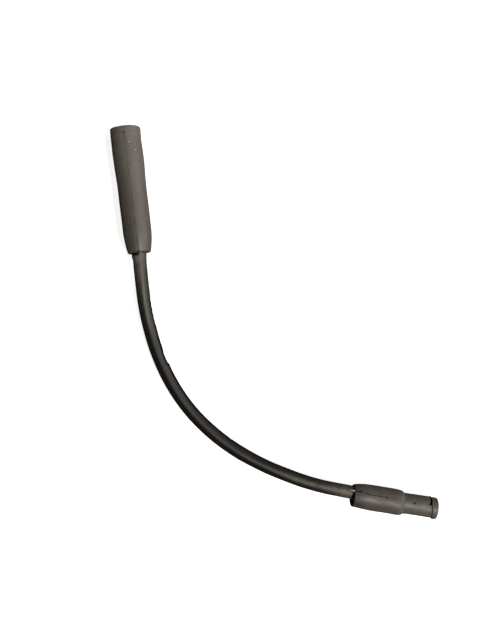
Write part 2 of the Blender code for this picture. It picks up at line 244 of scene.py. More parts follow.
class Axis:
    """A straight axis with an origin, and its own right and up."""

    def __init__(self, origin, along):
        self.origin = np.array(origin, float)
        self.along = np.array(along, float)
        self.up = np.array((0.0, 0.0, 1.0))
        self.right = np.cross(self.along, self.up)

    def around(self, turn, along, radius):
        """radius * sin(turn) across, along, and radius * cos(turn) up."""
        return self.at(radius * np.sin(turn), along, radius * np.cos(turn))

    def at(self, across, along, height):
        """origin + across * right + along * direction + height * up."""
        across, along, height = np.broadcast_arrays(across, along, height)
        return (self.origin + across[..., None] * self.right + along[..., None] * self.along
                + height[..., None] * self.up)


def plug_axis():
    middle = (PLUG_LOW + PLUG_HIGH) / 2
    return Axis((middle.x, PLUG_LOW.y, middle.z), (0, 1, 0))


def coil_axis(settings):
    mount = MOUNTS["coil_mouth"]
    direction = np.array(mount["axis"], float)
    middle = (COIL_LOW.z + COIL_HIGH.z) / 2
    mouth = np.array((mount["pos_m"][0], mount["pos_m"][1], middle))
    return Axis(mouth - settings.length * direction, direction)


def fill_inputs(tree, node, inputs):
    """Link each input that is given a socket, and set each one that is given a value."""
    for socket, value in dict(inputs).items():
        if isinstance(value, bpy.types.NodeSocket):
            tree.links.new(value, node.inputs[socket])
        else:
            node.inputs[socket].default_value = value


def add_node(tree, kind, inputs=(), **settings):
    """Add one node, set its settings, and fill or link its inputs."""
    made = tree.nodes.new(kind)
    for name, value in settings.items():
        setattr(made, name, value)
    fill_inputs(tree, made, inputs)
    return made


def new_material(name):
    """An empty node material with a Principled shader on its output."""
    material = bpy.data.materials.new(name)
    material.use_nodes = True
    return material, material.node_tree, material.node_tree.nodes["Principled BSDF"]


def arithmetic(tree, operation, *values, clamp=False):
    """One step of arithmetic on numbers or sockets."""
    return add_node(tree, "ShaderNodeMath", enumerate(values), operation=operation,
                    use_clamp=clamp).outputs[0]


def rescale(tree, value, from_range, to_range=(0.0, 1.0)):
    """Carry one range over to another, held at both ends."""
    sockets = ("Value", "From Min", "From Max", "To Min", "To Max")
    return add_node(tree, "ShaderNodeMapRange",
                    zip(sockets, (value, *from_range, *to_range))).outputs[0]


def blend(tree, share, first, second):
    """From the first colour to the second by a share."""
    return add_node(tree, "ShaderNodeMix", {0: share, 6: first, 7: second},
                    data_type="RGBA").outputs[2]


def clouds(tree, place, size, detail=2.0, roughness=0.5):
    """Noise whose clouds have a size in the units of place."""
    return add_node(tree, "ShaderNodeTexNoise",
                    {"Vector": place, "Scale": 1 / size, "Detail": detail,
                     "Roughness": roughness}).outputs["Fac"]


def streaks(tree, thickness, reach, detail):
    """Noise drawn out along the piece, by its flat layout in metres."""
    lay = add_node(tree, "ShaderNodeUVMap", uv_map="Lay").outputs[0]
    drawn = add_node(tree, "ShaderNodeMapping",
                     {"Vector": lay, "Scale": (1 / thickness, 1 / reach, 1)}).outputs[0]
    return clouds(tree, drawn, 1, detail)


def relief(tree, height, strength, depth):
    """A pattern as relief of a depth in metres."""
    return add_node(tree, "ShaderNodeBump", {"Height": height, "Strength": strength,
                                             "Distance": depth}).outputs[0]


def object_place(tree):
    return add_node(tree, "ShaderNodeTexCoord").outputs["Object"]


def painted(tree, name):
    """A value that the mesh carries at each of its points."""
    return add_node(tree, "ShaderNodeAttribute", attribute_name=name).outputs["Fac"]


def ray_kinds(tree):
    """1 for rays from the camera, and 1 for rays from a reflection or through glass."""
    rays = add_node(tree, "ShaderNodeLightPath").outputs
    mirrored = arithmetic(tree, "MAXIMUM", rays["Is Glossy Ray"], rays["Is Transmission Ray"])
    return rays["Is Camera Ray"], mirrored


def skin(name, grid, material, wrap_rows=False, uv_size=None, attributes=()):
    """A closed mesh over a grid of points, whose columns always wrap round.

    grid[row, column] is a point. Rows wrap round too, or each end is closed by a strip of
    quads between column i and its partner at the other end of the row. uv_size lays the grid
    out flat in metres: u around, v along the rows.
    """
    rows, columns = grid.shape[:2]
    index = np.arange(rows * columns).reshape(rows, columns)
    near = index if wrap_rows else index[:-1]
    far = np.roll(index, -1, 0) if wrap_rows else index[1:]
    quads = [np.stack((near, np.roll(near, -1, 1), np.roll(far, -1, 1), far), -1).reshape(-1, 4)]
    row, column = np.divmod(near.ravel(), columns)
    layout = [np.stack((np.stack((column, column + 1, column + 1, column), -1),
                        np.stack((row, row, row + 1, row + 1), -1)), -1)]
    if not wrap_rows:
        i = np.arange(columns // 2 - 1)
        first, last = index[0], index[-1]
        quads.append(np.stack((first[i + 1], first[i], first[-1 - i], first[-2 - i]), -1))
        quads.append(np.stack((last[i], last[i + 1], last[-2 - i], last[-1 - i]), -1))
        layout += [np.zeros((len(i), 4, 2))] * 2
    quads, layout = np.concatenate(quads), np.concatenate(layout)
    points = grid.reshape(-1, 3)
    corners = points[quads]
    diagonals = np.cross(corners[:, 2] - corners[:, 0], corners[:, 3] - corners[:, 1])
    if np.einsum("ij,ij->", corners.mean(1) - points.mean(0), diagonals) < 0:
        quads, layout = quads[:, ::-1], layout[:, ::-1]
    mesh = bpy.data.meshes.new(name)
    mesh.from_pydata(points.tolist(), [], quads.tolist())
    if uv_size is not None:
        uv = layout.reshape(-1, 2) * (uv_size[0] / columns, uv_size[1] / (rows - 1))
        mesh.uv_layers.new(name="Lay").uv.foreach_set("vector", uv.ravel())
    for attribute, values in dict(attributes).items():
        layer = mesh.attributes.new(attribute, "FLOAT", "POINT")
        layer.data.foreach_set("value", np.broadcast_to(values, (rows, columns)).ravel())
    mesh.materials.append(material)
    mesh.shade_smooth()
    mesh.set_sharp_from_angle(angle=math.radians(50))
    piece = bpy.data.objects.new(name, mesh)
    bpy.context.scene.collection.objects.link(piece)
    return piece


def dress(piece, slot, *nodes):
    """The piece rides on the one body and stands for its CAD nodes, which it hides. slot is not used."""
    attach(piece, "root")
    if nodes:
        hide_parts(*nodes)


def ease(share):
    """3 s^2 - 2 s^3 with s held between 0 and 1."""
    share = np.clip(share, 0, 1)
    return share * share * (3 - 2 * share)


def bump(distance, width):
    """A bell curve of height 1: exp(-(distance / width)^2)."""
    return np.exp(-(distance / width) ** 2)


def between(value, low, high, blur):
    """1 from low to high and 0 outside, blurred over a distance at both ends."""
    return ease((value - low) / blur + 0.5) * ease((high - value) / blur + 0.5)


def off(turn, centre):
    """The angle from centre to turn, wrapped to -180 to 180 degrees."""
    return (turn - centre + math.pi) % math.tau - math.pi


def ripple(turn, along, seed, around, wavelength, waves=24):
    """Gentle unevenness of height about 1: a sum of sines sin(n turn + f along + phase).

    n is a whole number up to around, so the pattern closes round the axis.
    """
    random = np.random.default_rng(seed)
    total = np.zeros(np.broadcast(turn, along).shape)
    for _ in range(waves):
        n = random.integers(-around, around + 1)
        f = random.uniform(-1, 1) * math.tau / wavelength
        total += np.sin(n * turn + f * along + random.uniform(0, math.tau))
    return total / math.sqrt(waves / 2)


def through(knots, values, where):
    """A smooth curve through values at knots: cubic Hermite, each slope from both neighbours."""
    knots, values, where = (np.asarray(item, float) for item in (knots, values, where))
    wide = (-1, *[1] * (values.ndim - 1))
    ends = np.concatenate((values[:1], values, values[-1:]))
    gaps = np.diff(np.concatenate((knots[:1], knots, knots[-1:])))
    slopes = (ends[2:] - ends[:-2]) / (gaps[1:] + gaps[:-1]).reshape(wide)
    i = np.clip(np.searchsorted(knots, where, side="right") - 1, 0, len(knots) - 2)
    step = (knots[i + 1] - knots[i]).reshape(wide if values.ndim > 1 else where.shape)
    t = np.clip((where - knots[i]) / (knots[i + 1] - knots[i]), 0, 1).reshape(step.shape)
    return (values[i] * (1 + 2 * t) * (1 - t) ** 2 + slopes[i] * step * t * (1 - t) ** 2
            + values[i + 1] * t * t * (3 - 2 * t) - slopes[i + 1] * step * t * t * (1 - t))


def edge_drop(distance, size):
    """How far a quarter round lies under its side, at a distance from the end face."""
    inside = np.clip(1 - distance / size, 0, 1)
    return size * (1 - np.sqrt(1 - inside ** 2))


def stations(total, edge, step, fine=()):
    """Places along an outside, close together in both edge roundings and in fine stretches."""
    corner = edge * (1 - np.cos(np.linspace(0, math.pi / 2, 7)))
    parts = [corner, total - corner, np.arange(edge, total - edge, step)]
    parts += [np.arange(low, high, step / 3) for low, high in fine]
    places = np.unique(np.round(np.concatenate(parts), 7))
    return places[np.concatenate(([True], np.diff(places) > 0.015 * MM))]


def follow(corners, step):
    """Points along a line through corners, at most a step apart, with both ends."""
    corners = np.array(corners, float)
    pieces = []
    for start, end in zip(corners, corners[1:]):
        count = max(1, math.ceil(np.linalg.norm(end - start) / step))
        pieces.append(start + (end - start) * np.arange(count)[:, None] / count)
    return np.concatenate((*pieces, corners[-1:]))


def distances(path):
    """From a path's first point to each of its points, along it."""
    return np.concatenate(([0], np.linalg.norm(np.diff(path, axis=0), axis=1).cumsum()))


def unit(vectors):
    return vectors / np.linalg.norm(vectors, axis=1, keepdims=True)


def close_wall(along, radius, bore):
    """Join an outside and a bore into rows that go once round the wall of a boot.

    along and radius are rows from rear to mouth by columns round the axis. bore is a list of
    (along, radius) from mouth to rear. Both end faces are straight rows from one to the other.
    """
    inside = np.broadcast_to(bore[:, :, None], (*bore.shape, along.shape[1]))
    share = np.arange(1, FACE_ROWS + 1)[:, None] / (FACE_ROWS + 1)
    mouth = [end[0] * (1 - share) + end[1] * share
             for end in ((along[-1], inside[0, 0]), (radius[-1], inside[0, 1]))]
    rear = [end[0] * (1 - share) + end[1] * share
            for end in ((inside[-1, 0], along[0]), (inside[-1, 1], radius[0]))]
    return (np.concatenate((along, mouth[0], inside[:, 0], rear[0])),
            np.concatenate((radius, mouth[1], inside[:, 1], rear[1])))


def rest_on_floor(grid):
    """Rubber that would dip under the floor lies flat on it."""
    grid[..., 2] = np.maximum(grid[..., 2], 0)
    return grid


def dull_at_a_slant(tree, level, power):
    """Dust hides the shine where one looks along the surface: level * facing ^ power.

    level is a number or a socket. The result is a specular level.
    """
    slant = add_node(tree, "ShaderNodeLayerWeight", {"Blend": 0.5}).outputs["Facing"]
    facing = arithmetic(tree, "SUBTRACT", 1.0, slant, clamp=True)
    return arithmetic(tree, "MULTIPLY", arithmetic(tree, "POWER", facing, power), level)


# Clouds in the boots' rubber, in mm, and how much each lightens or darkens it
MOTTLE = ((6, 0.36), (1.7, 0.6), (0.45, 1.4))
# What a soft patch multiplies the rubber's colour by
GREENER = (0.97, 1.01, 0.97, 1)
BROWNER = (1.05, 0.99, 1.01, 1)


def boot_rubber(name, settings):
    """Moulded EPDM rubber, matt, with dust in its pores.

    Black in its seams, and darkened as painted shade in its nick, split and gash, partly in its
    pits, on the coil boot's rear rim, in its bore and on its rear face. Grey all over from bloom
    and road dust, and on the plug boot paler towards the mouth as painted light. Paler where it
    is rubbed and where highlights are painted, and in soft patches browner or greener. The grain
    of the mould is about 0.1 mm, drawn at 0.45 mm so that it shows. mottle says how coarse a
    boot looks, bloom how thick its bloom of dust is together with that painted light, and
    grime, with its painted shade, takes the shine away as well.
    """
    material, tree, shader = new_material(name)
    place = object_place(tree)
    mottle, bloom, dark, pale = (painted(tree, mark) for mark in ("mottle", "bloom", "grime", "worn"))
    uneven = -0.5 * sum(amount for size, amount in MOTTLE)
    for size, amount in MOTTLE:
        cloud = clouds(tree, place, size * MM, roughness=0.6)
        uneven = arithmetic(tree, "MULTIPLY_ADD", cloud, amount, uneven)
    lightness = arithmetic(tree, "MULTIPLY_ADD", uneven, mottle, 1.0)
    smudge = clouds(tree, place, 9 * MM, 3, 0.6)
    tint = blend(tree, rescale(tree, smudge, (0.35, 0.65)), GREENER, BROWNER)
    tone_with_painted_light = blend(tree, bloom, settings.body, settings.bloomed_and_painted_light)
    tinted = add_node(tree, "ShaderNodeVectorMath", {0: tone_with_painted_light, 1: tint}, operation="MULTIPLY")
    mottled = add_node(tree, "ShaderNodeVectorMath", {0: tinted.outputs[0], "Scale": lightness},
                       operation="SCALE")
    dirty_and_shaded = blend(tree, dark, mottled.outputs[0], settings.grime)
    shiny = arithmetic(tree, "MULTIPLY_ADD", dark, -0.65, 0.75, clamp=True)
    fill_inputs(tree, shader, {
        "Base Color": blend(tree, pale, dirty_and_shaded, settings.worn),
        "Roughness": rescale(tree, smudge, (0.3, 0.7), (0.49, 0.56)),
        "Normal": relief(tree, clouds(tree, place, 0.4 * MM), mottle, 0.05 * MM),
        "Specular IOR Level": dull_at_a_slant(tree, shiny, 5.8),
        "Specular Tint": (1.0, 0.95, 0.88, 1.0),
        "IOR": 1.5})
    return material


def lead_jacket(name, settings):
    """Extruded silicone or EPDM jacket, smooth black with a soft shine.

    Drawn through a die, so it carries faint lines lengthwise, about 0.4 mm apart. Near the
    boots a film of dust takes the shine away. The same grey along the top near both boots is
    also a painted highlight, and where it is left off under the plug boot's rim the black is
    painted shade.
    """
    material, tree, shader = new_material(name)
    cloud = clouds(tree, object_place(tree), 3.5 * MM, 5, 0.65)
    patchy = rescale(tree, cloud, (0.3, 0.65), (0.35, 1.0))
    dust_and_painted_light_share = arithmetic(tree, "MULTIPLY", painted(tree, "dust"), patchy, clamp=True)
    fill_inputs(tree, shader, {
        "Base Color": blend(tree, dust_and_painted_light_share, settings.jacket, settings.dust),
        "Roughness": rescale(tree, dust_and_painted_light_share, (0.0, 0.3), (0.46, 0.57)),
        "Normal": relief(tree, streaks(tree, 0.4 * MM, 30 * MM, 2), 0.35, 0.03 * MM),
        "Specular IOR Level": dull_at_a_slant(tree, 0.75, 5.7),
        "Specular Tint": (1.0, 0.93, 0.84, 1.0),
        "IOR": 1.5})
    return material


def rolled_sheet(name, bright, dull):
    """Tinned sheet, stamped and rolled: a soft satin shine with grey tarnish clouds."""
    material, tree, shader = new_material(name)
    cloud = clouds(tree, object_place(tree), 2.5 * MM, 5, 0.6)
    tarnish = rescale(tree, cloud, (0.38, 0.68))
    fill_inputs(tree, shader, {
        "Base Color": blend(tree, tarnish, linear(bright), linear(dull)),
        "Roughness": rescale(tree, tarnish, (0.0, 1.0), (0.28, 0.5)),
        "Metallic": 1.0})
    return material


def spring_steel(name):
    """Drawn spring wire, oil-hardened: dark steel with a clean shine along the wire."""
    material, tree, shader = new_material(name)
    stain = clouds(tree, object_place(tree), 0.8 * MM)
    fill_inputs(tree, shader, {
        "Base Color": blend(tree, stain, linear("#8A8680"), linear("#6B6760")),
        "Roughness": 0.3,
        "Metallic": 1.0})
    return material


def carbon_yarn(name):
    """Glass yarn filled with carbon: soft black with thin grey fibres along it."""
    material, tree, shader = new_material(name)
    strand = streaks(tree, 0.12 * MM, 2 * MM, 3)
    fill_inputs(tree, shader, {
        "Base Color": blend(tree, strand, linear("#121214"), linear("#3C3B3A")),
        "Roughness": 0.7,
        "Normal": relief(tree, strand, 0.8, 0.04 * MM)})
    return material


def material_once(name, make, *settings):
    """Pieces of one stuff share one material."""
    return bpy.data.materials.get(name) or make(name, *settings)


# Parting lines of the boots: mm from the rear end, degrees from the top
PLUG_SEAM = ((0, 1.2), (15, 1.8), (30, 1.6), (45, 1.2), (55, 2.2), (66, 3.2))
COIL_SEAM = ((0, -36), (3.6, -35.5), (5.0, -32.5), (7.3, -27), (12.6, -27.5), (16.4, -25.5),
             (21.3, -24), (44, -29))
# Where the coil boot's parting line is torn: from and to in mm, how much
COIL_TEARS = ((-0.5, 3.7, 1.7), (4.8, 7.2, 1.3), (7.2, 10.7, 1.1), (10.7, 12.6, 0.8),
              (14.4, 15.6, 0.7), (17.2, 21.5, 0.45), (38.5, 39.6, 0.4))
# Bow of the coil boot's step, and of its lip's rear edge: degrees from the top, mm, mm
COIL_BOW = ((-180, 0.5, -1.9), (-120, 0.6, -2.0), (-88, 0.4, -2.6), (-60, -0.05, -3.1),
            (-30, -0.4, -3.5), (0, -0.5, -3.4), (30, -0.1, -2.9), (45, 0.25, -2.6),
            (90, 0.6, -2.0), (120, 0.7, -1.9), (180, 0.5, -1.9))

# Marks: mm from the rear end, degrees from the top, mm long, mm wide, how much
# Mostly rubbed specks; the broad faint patches at 35 and 56 mm are painted highlights.
PLUG_RUBBED_AND_HIGHLIGHTS = ((57.2, 20, 0.19, 0.34, 1.0), (53.05, 39.3, 0.22, 0.24, 0.75),
               (46, 53, 0.35, 0.5, 0.1), (61.3, 6.5, 1.1, 0.3, 0.08), (20.3, 14, 0.3, 0.3, 0.06),
               (35, 35, 5, 3, 0.008), (63.8, 30, 1.0, 3.5, 0.012), (56, -14, 16, 2.4, 0.035))
# Stains, except the last: a long patch beside the top seam at the rear that is painted shade.
PLUG_DIRT_AND_SHADE = ((46.1, 12, 0.4, 0.5, 0.35), (57.9, -38, 0.5, 0.9, 0.15), (31.5, 55, 1.5, 1.6, 0.12),
             (46.8, 47, 0.6, 0.7, 0.12), (34.8, 31, 0.4, 0.5, 0.15), (21.6, 15, 0.5, 0.5, 0.12),
             (4, 6, 8, 1.0, 0.14))
COIL_PITS = ((13.1, -26, 0.42, 0.42, 1.3), (16.4, -25.5, 0.42, 0.35, 1.1),
             (16.9, -22, 0.28, 0.3, 0.8), (40.25, -31.5, 0.55, 0.6, 1.9),
             (31.6, -21, 0.4, 0.42, 1.9), (3.1, -35.5, 0.4, 0.3, 0.4), (41.4, -88, 0.35, 1.2, 0.9))
COIL_DIRT = ((32.2, -17, 0.3, 0.6, 0.2), (29.4, -52, 0.6, 0.9, 0.12), (1.8, 36, 2.2, 1.7, 0.5),
             (6, 34, 3.5, 1.4, 0.12), (2.2, -8, 1.2, 1.6, 0.03), (2, -35, 1.5, 1.2, 0.12))
# The first two are rubbed specks; the rest are painted highlights along the top and its right flank.
COIL_RUBBED_AND_HIGHLIGHTS = ((42.9, -5, 0.2, 0.25, 0.4), (41.5, -26, 0.3, 0.4, 0.1), (6.5, -4, 3.0, 1.0, 0.1),
               (10.5, -1, 1.8, 0.9, 0.06), (21.8, 3, 1.8, 0.6, 0.045), (19, -2, 1.6, 0.6, 0.03),
               (37, -14, 2.2, 1.2, 0.07), (29, -12, 2.2, 1.0, 0.06), (35, 26, 8.5, 2.6, 0.035))


class Outside:
    """The outside of a boot over a grid of turn and along: radius, grime with painted shade, and wear with
    painted highlights.
    """

    def __init__(self, turn, along, radius):
        self.turn, self.along, self.radius = turn, along, radius
        self.grime = np.zeros(along.shape)
        self.worn = np.zeros(along.shape)

    def across(self, angle):
        """Distance round the surface from a line at an angle."""
        return off(self.turn, angle) * self.radius

    def mark(self, shape, depth=0.0, grime=0.0, worn=0.0):
        """Press a shape in to a depth, darken it with grime and painted shade, and make it pale with wear
        and painted highlights.
        """
        self.radius = self.radius - depth * shape
        self.grime = self.grime + grime * shape
        self.worn = self.worn + worn * shape

    def spots(self, marks):
        """Sum of amount * bell along * bell across over a list of marks."""
        return sum(amount * bump(self.along - place * MM, long * MM)
                   * bump(self.across(math.radians(degrees)), wide * MM)
                   for place, degrees, long, wide, amount in marks)

    def finished(self, size, seed, wavelength):
        """Slightly uneven all over, less a quarter round at each end."""
        radius = self.radius + 0.03 * MM * ripple(self.turn, self.along, seed, 5, wavelength)
        for distance in (self.along, size.length - self.along):
            radius = radius - edge_drop(distance, size.edge)
        return radius, self.grime, self.worn


def seam_angle(seam, along):
    places, degrees = np.transpose(seam)
    return np.radians(through(places * MM, degrees, along))


def rounded_rear(radius, size, along):
    """A straight side that falls off to the rear's radius by (1 - along / taper)^2."""
    fall = radius - size.rear_diameter / 2
    return radius - fall * np.clip(1 - along / size.rear_taper, 0, 1) ** 2


def plug_boot_surface(size, turn, along):
    """The outside of the plug boot, with its seams and marks.

    Radius: the waist, rounded at the rear, more by an eased passage at the head, which has a
    slight swelling and hollow. On it come the mould's parting line at the top and at the
    bottom, the groove behind the lip on the left half, the L-shaped nick where they meet, the
    split at the rear end and a slight swelling of the waist. The nick and the split are
    darkened as painted shade, and so is a long patch beside the top seam at the rear. Broad
    faint pale patches at 35 and 56 mm are painted highlights. Returns radius, grime with
    painted shade, and wear with painted highlights.
    """
    waist, head = size.waist_diameter / 2, size.head_diameter / 2
    head_start = size.length - size.head_length - size.head_taper
    radius = (rounded_rear(waist, size, along)
              + (head - waist) * ease((along - head_start) / size.head_taper))
    radius = (radius + 0.03 * MM * bump(along - 52.5 * MM, 3 * MM)
              - 0.06 * MM * bump(along - 58.8 * MM, 2.5 * MM))
    outside = Outside(turn, along, radius)

    seam = seam_angle(PLUG_SEAM, along)
    patchy = 0.6 + 0.4 * ripple(0, along, 3, 0, 6 * MM)
    for start in (0.0, math.pi):
        side = outside.across(seam + start)
        outside.mark(bump(side, 0.2 * MM), depth=0.05 * MM)
        outside.mark(bump(side, 0.24 * MM) * patchy, grime=0.45)

    from_top = off(turn, 0)
    groove = np.minimum(62.9 * MM + 1.9 * MM * (1 - np.cos(turn)), size.length - 0.75 * MM)
    line = bump(along - groove, 0.24 * MM)
    clear = between(from_top, *np.radians((-95, 4, 6)))
    clear = clear * (0.5 + 0.5 * bump(from_top, math.radians(30)))
    faint = between(from_top, *np.radians((22, 46, 10)))
    outside.mark(line * clear, depth=0.1 * MM, grime=0.32)
    outside.mark(line * faint, depth=0.02 * MM, grime=0.14)
    outside.mark(bump(along - groove - 0.6 * MM, 0.4 * MM) * clear, worn=0.02)

    # Painted shade: the nick is darkened where shade falls into it.
    side = from_top * size.head_diameter / 2
    foot = between(side, -0.95 * MM, 0.3 * MM, 0.4 * MM) * bump(along - 62.75 * MM, 0.28 * MM)
    stem = between(along, 60.9 * MM, 62.7 * MM, 0.6 * MM) * bump(side - 0.15 * MM, 0.22 * MM)
    outside.mark(np.maximum(0.55 * foot, stem), depth=0.2 * MM, grime=1.1)

    # Painted shade: the split at the rear is darkened where shade falls into it.
    gape = np.clip(0.3 * MM * (1 - along / (2.4 * MM)), 0.12 * MM, None)
    split = bump(outside.across(math.radians(0.5)), gape) * ease(1 - along / (2.9 * MM))
    outside.mark(split, depth=0.45 * MM, grime=0.95)

    outside.mark(outside.spots(PLUG_RUBBED_AND_HIGHLIGHTS), worn=1)
    outside.mark(outside.spots(PLUG_DIRT_AND_SHADE), grime=1)
    outside.mark(between(along, 18 * MM, 38 * MM, 8 * MM), depth=-0.08 * MM)
    return outside.finished(size, seed=11, wavelength=14 * MM)


def coil_boot_surface(size, turn, along):
    """The outside of the coil boot, with its seams and marks.

    Radius: the body, rounded at the rear, less the square of the share of the shoulder, then
    eased down to the nose at a step that bows back at the top. The lip's rear edge bows too.
    On the left half it has a gash before it, darkened as painted shade, on the right it is a
    fine line, and the lip stands out. The step's edge carries a painted highlight. The parting
    line is torn in dashes, with an edge that stands up on its left, and a blob of flash sits
    before the lip on the left. The pits are darkened partly as painted shade, the rear rim
    except over the top as painted shade, and pale patches along the top are painted
    highlights. Returns radius, grime with painted shade, and wear with painted highlights.
    """
    degrees = np.degrees(off(turn, 0))
    around, step_bow, lip_bow = np.transpose(COIL_BOW)
    step = size.body_length + through(around, step_bow * MM, degrees)
    lip_line = size.length + through(around, lip_bow * MM, degrees)
    shoulder = np.clip((along - step) / size.shoulder + 1, 0, 1)
    body = rounded_rear(size.body_diameter / 2, size, along) - size.shoulder_drop * shoulder ** 2
    fillet = 0.3 * MM * np.exp(-np.clip(along - step - 0.4 * MM, 0, None) / (0.5 * MM))
    past = ease((along - step) / (0.7 * MM) + 0.3)
    radius = body * (1 - past) + (size.nose_diameter / 2 + fillet) * past
    lip, least = ease((along - lip_line) / (0.5 * MM) + 0.3), 0.25 * MM
    outside = Outside(turn, along, radius + lip * (least + (size.lip_rise - least) * np.sin(turn)))

    deep = between(degrees, -125, -31, 6)
    line = bump(along - lip_line + 0.1 * MM, 0.18 * MM) * (1 - deep)
    gash = deep * between(along - lip_line, -1.1 * MM, -0.05 * MM, 0.3 * MM)
    outside.mark(line, depth=0.1 * MM, grime=0.4)
    # Painted shade: the gash is darkened far past grime.
    outside.mark(gash, depth=0.6 * MM, grime=1.8)
    # Painted highlight: a pale line along the step's edge, strongest on the upper left.
    high = between(degrees, -100, -8, 20)
    outside.mark((0.02 + 0.1 * high) * bump(along - step + 0.1 * MM, 0.2 * MM), worn=1)
    outside.mark(deep * bump(along - lip_line - 0.12 * MM, 0.16 * MM), worn=0.2)

    torn = sum(amount * between(along, low * MM, high * MM, 0.5 * MM)
               for low, high, amount in COIL_TEARS)
    side = outside.across(seam_angle(COIL_SEAM, along))
    outside.mark(bump(side, 0.22 * MM) * (0.04 + 0.14 * torn), depth=1 * MM)
    outside.mark(bump(side + 0.5 * MM, 0.3 * MM) * torn, depth=-0.05 * MM)
    outside.mark(bump(side, 0.3 * MM) * (0.12 + 0.6 * torn), grime=1)

    # The pits are darkened partly as grime and partly as painted shade; the other spots are stains.
    pits, dirt = outside.spots(COIL_PITS), outside.spots(COIL_DIRT)
    outside.mark(pits, depth=0.15 * MM, grime=1)
    outside.mark(dirt, grime=1)
    blob = bump(along - 41.25 * MM, 0.45 * MM) * bump(degrees + 92, 14)
    outside.mark(blob, depth=-1.05 * MM)
    outside.mark(outside.spots(COIL_RUBBED_AND_HIGHLIGHTS), worn=1)
    # Painted shade: the rear rim is darkened except over the top, from 42 degrees left to 12 right.
    rim = (1 - between(degrees, -42, 12, 12)) * ease(1 - along / (0.5 * MM))
    outside.mark(rim, grime=0.9)
    return outside.finished(size, seed=12, wavelength=11 * MM)


def contact_places(throat, size, can):
    """Where a contact's crimp, neck and socket end along its boot."""
    crimp_rear = throat + CLEARANCE
    crimp_front = crimp_rear + size.crimp
    neck_rear = crimp_front + size.crimp_mouth
    can_rear = neck_rear + size.neck
    return crimp_rear, crimp_front, neck_rear, can_rear, can_rear + can


def crimp_fit(lead, size):
    """Bore radius of the crimp, and how far it hangs under the lead to make room for the core."""
    sunk = (size.tail_thickness + CLEARANCE) / 2
    return lead.diameter / 2 + CLEARANCE + sunk, sunk


def boot_fit(cable, can_bore):
    """Radii inside a boot: throat on the lead, cavity round the crimp, collar on the socket."""
    crimp, sunk = crimp_fit(cable.lead, cable.contact)
    round_sheet = cable.contact.sheet + CLEARANCE
    return cable.lead.diameter / 2 + CLEARANCE, crimp + sunk + round_sheet, can_bore / 2 + round_sheet


def rear_bore(size, throat, cavity):
    """The bore from the cavity to the rear end, as (along, radius)."""
    return [(size.throat, cavity), (size.throat, throat), (size.bell, throat),
            (0, throat + size.bell_widening)]


def boot_grid(size, step, fine):
    """turn and along for each column and row of a boot's outside."""
    places = stations(size.length, size.edge, step, fine)
    turn = np.linspace(-math.pi, math.pi, BOOT_COLUMNS, endpoint=False)[None, :]
    return turn, np.broadcast_to(places[:, None], (len(places), BOOT_COLUMNS))


def add_boot(node, cable, wall, lean, marks, rear_painted_shade, **dust):
    """A boot's piece. wall is axis, turn, rows and reach, and each row leans to the right.

    marks are the grime, with painted shade, and the wear, with painted highlights, of the outside,
    whose rows come first. The mouth's face is clean, the bore and the rear face are darkened as
    painted shade.
    """
    axis, turn, rows, reach = wall
    outside = len(marks[0])
    # Painted shade: the bore is darkened all through, and the rear face by the amount given for it.
    grime = np.full(rows.shape, 0.3)
    worn = np.zeros(rows.shape)
    grime[:outside], worn[:outside] = marks
    grime[outside:outside + FACE_ROWS] = 0.1
    grime[-FACE_ROWS:] = rear_painted_shade
    grid = rest_on_floor(axis.around(turn, rows, reach) + lean[:, None, None] * axis.right)
    rubber = material_once("Dusty EPDM Rubber", boot_rubber, cable.rubber)
    piece = skin(node + "_dressed", grid, rubber, wrap_rows=True,
                 attributes={"grime": grime, "worn": worn, **dust})
    dress(piece, "boot_rubber", node)
    return rubber


class CABLE_OT_plug_boot(bpy.types.Operator):
    """Make the plug boot with its ribbed bore"""

    bl_idname = "cable.plug_boot"
    bl_label = "Plug Boot"

    def bore(self, cable):
        """(along, radius) from the mouth to the rear: flare, ribs, collar, cavity and throat."""
        size, contact = cable.plug, cable.contact
        throat, cavity, collar = boot_fit(cable, contact.plug_bore)
        collar_rear = contact_places(size.throat, contact, contact.plug_can)[3] + CLEARANCE
        collar_front = collar_rear + contact.collar
        bore = size.bore / 2
        inside = follow([(size.length, bore + size.flare),
                         (size.length - 0.3 * MM, bore + size.flare * 0.55),
                         (size.length - 1 * MM, bore), (collar_front + bore - collar, bore),
                         (collar_front, collar), (collar_rear, collar), (collar_rear, cavity),
                         *rear_bore(size, throat, cavity)], BORE_STEP)
        ribs = size.length - size.rib_first - size.rib_pitch * np.arange(size.rib_count)
        inside[:, 1] -= size.rib_height * bump(inside[:, :1] - ribs, 0.5 * MM).sum(1)
        return inside

    def execute(self, context):
        """It leans a little along its middle and more at its head, and its mouth is cupped.

        Both sides of the mouth stand forward, by the square of the sine of turn.
        """
        cable = context.scene.ignition_cable
        size = cable.plug
        turn, along = boot_grid(size, 0.3 * MM, ((0, 3 * MM), (60.5 * MM, 65.4 * MM)))
        radius, *marks = plug_boot_surface(size, turn, along)
        rows, reach = close_wall(along, radius, self.bore(cable))
        lean = (0.15 * MM * between(rows[:, 0], 4 * MM, 52 * MM, 10 * MM)
                + 0.2 * MM * ease((rows[:, 0] - 60 * MM) / (6 * MM)))
        rows = rows + 0.48 * MM * np.sin(turn) ** 2 * ease((rows - 62 * MM) / (4 * MM))
        # The plug boot pales towards its mouth: dust bloom, and painted light.
        add_boot("plug_boot", cable, (plug_axis(), turn, rows, reach), lean, marks, 0.6,
                 mottle=0.5, bloom=np.clip(rows / size.length, 0, 1))
        return {"FINISHED"}


